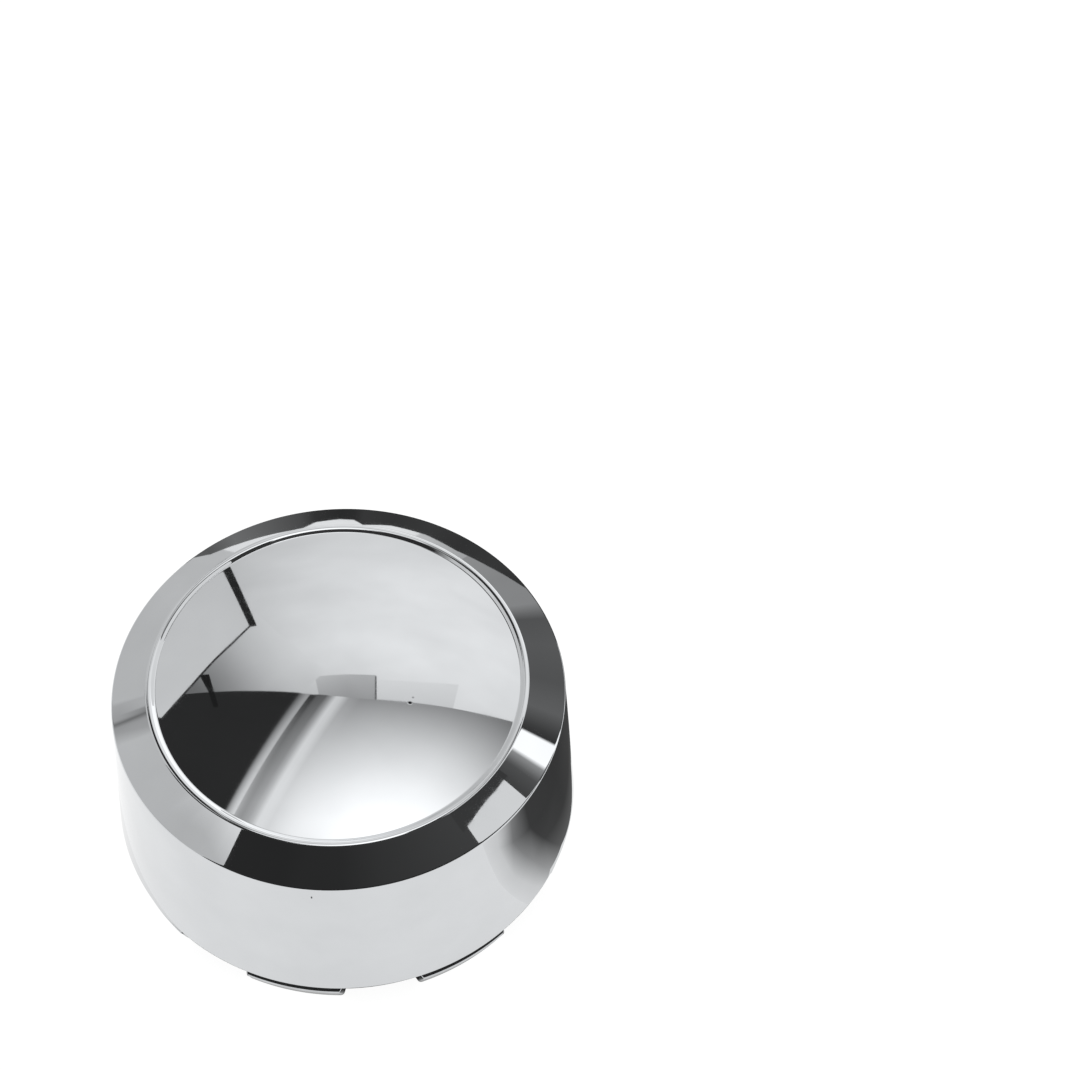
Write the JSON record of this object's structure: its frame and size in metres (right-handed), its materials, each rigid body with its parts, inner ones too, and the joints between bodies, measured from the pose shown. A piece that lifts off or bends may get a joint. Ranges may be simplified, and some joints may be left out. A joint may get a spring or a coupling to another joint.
{
  "type": "wheel centre cap",
  "caption": "Round pop-in wheel centre cap: a deep chromed cup with a bevelled, domed face, hook tabs round its open end and a split wire ring that springs them outwards.",
  "frame": {"origin": "on the cap's axis, in the plane of the tab tips that it stands on", "axes": "+Z along the cap's axis, out of its face; +X through the middle of a tab"},
  "size_m": [0.0866, 0.0866, 0.0466],
  "materials": {
    "chrome_plated_abs": "bright chrome plating on moulded ABS",
    "spring_wire": "plain drawn spring wire"
  },
  "bodies": {
    "root": {"cap_shell": "chrome_plated_abs", "retaining_ring": "spring_wire"}
  },
  "joints": []
}
